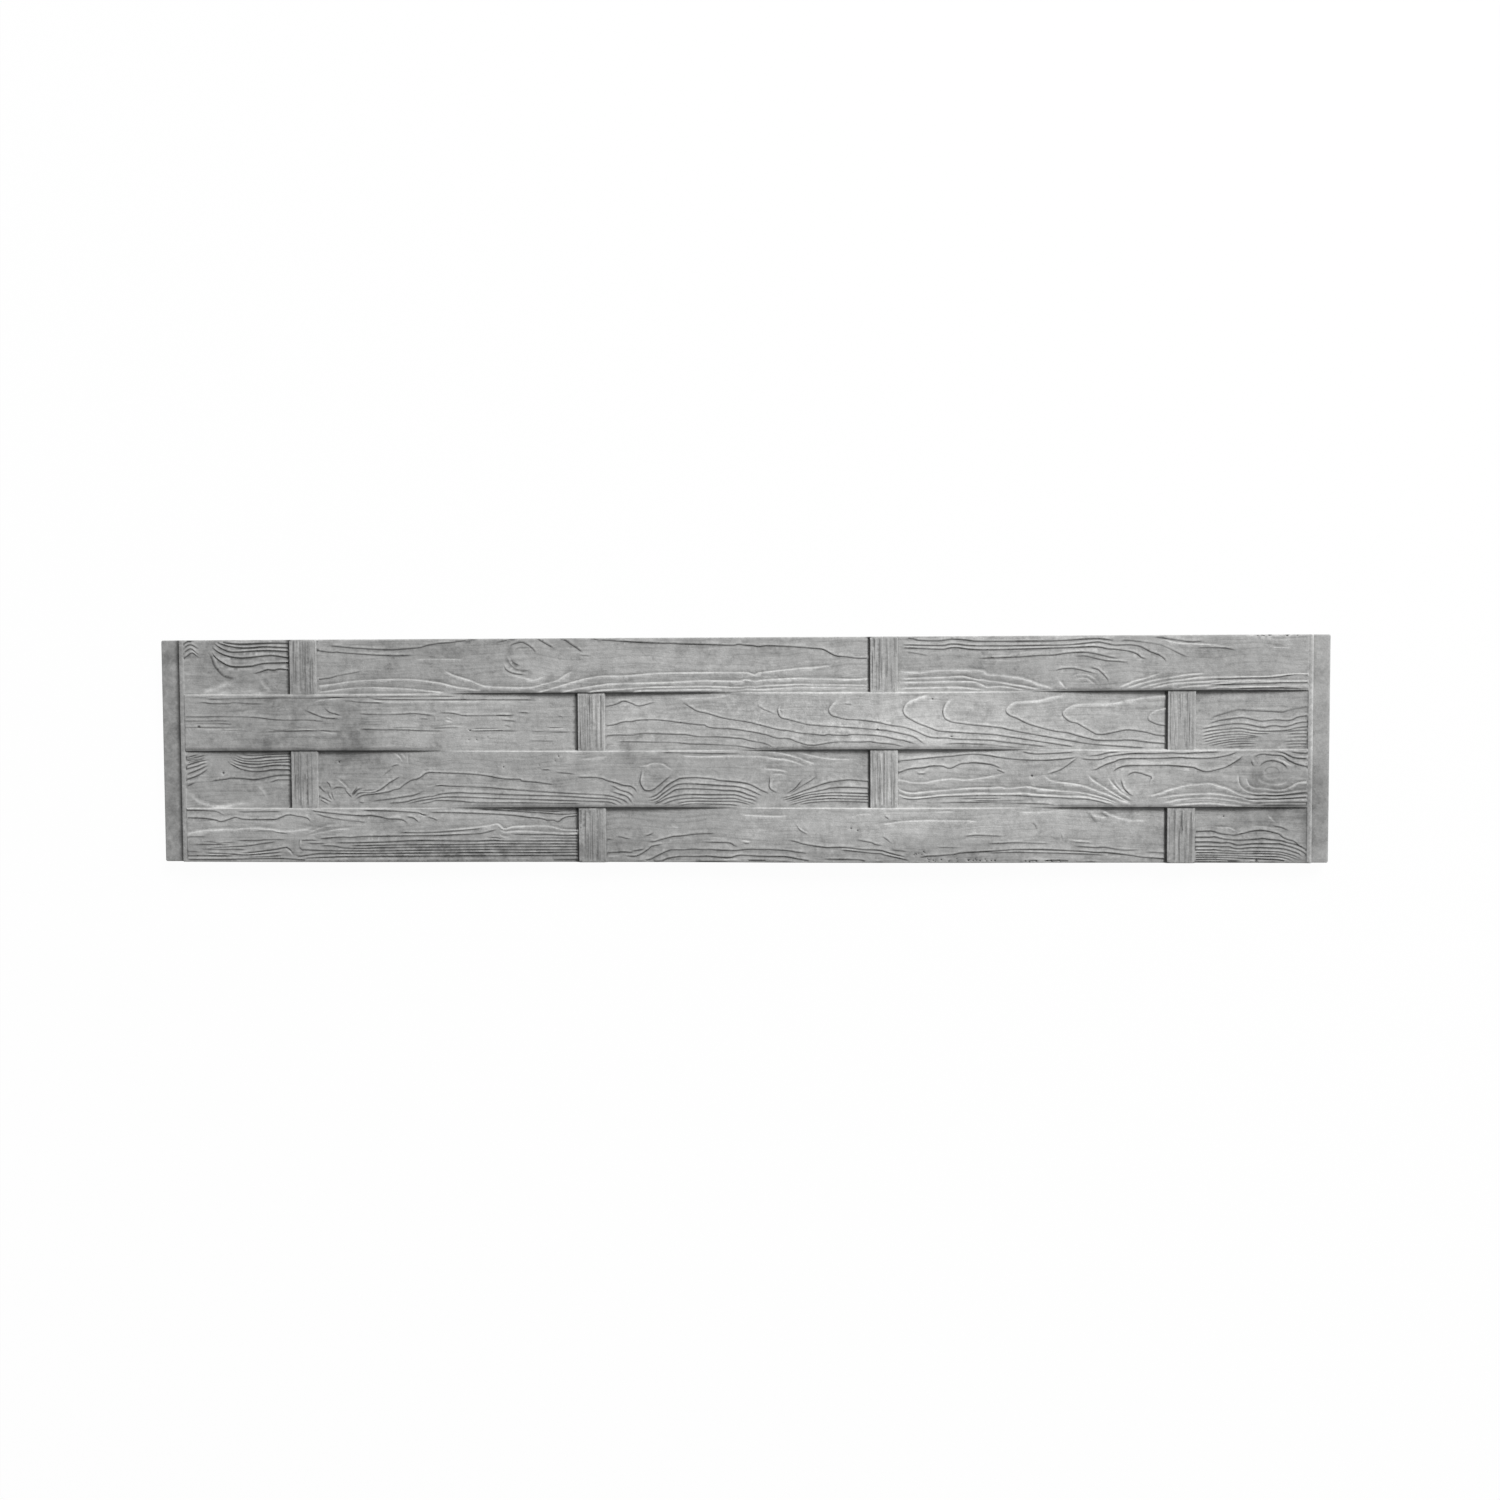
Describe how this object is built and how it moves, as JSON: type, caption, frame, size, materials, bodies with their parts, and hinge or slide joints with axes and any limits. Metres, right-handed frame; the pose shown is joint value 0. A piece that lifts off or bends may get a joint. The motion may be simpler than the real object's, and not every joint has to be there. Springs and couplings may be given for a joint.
{
  "type": "concrete fence panel",
  "caption": "Flat precast concrete fence panel with a face moulded as boards woven over upright battens, and plain end strips that slide into grooved posts.",
  "frame": {"origin": "middle of the flat back, on the plane that the panel lies on", "axes": "+X along the panel, +Y towards its upper edge as it stands in a fence, +Z out of the moulded face"},
  "size_m": [2, 0.385, 0.0435],
  "materials": {
    "concrete": "matte"
  },
  "bodies": {
    "root": {"panel": "concrete"}
  },
  "joints": []
}
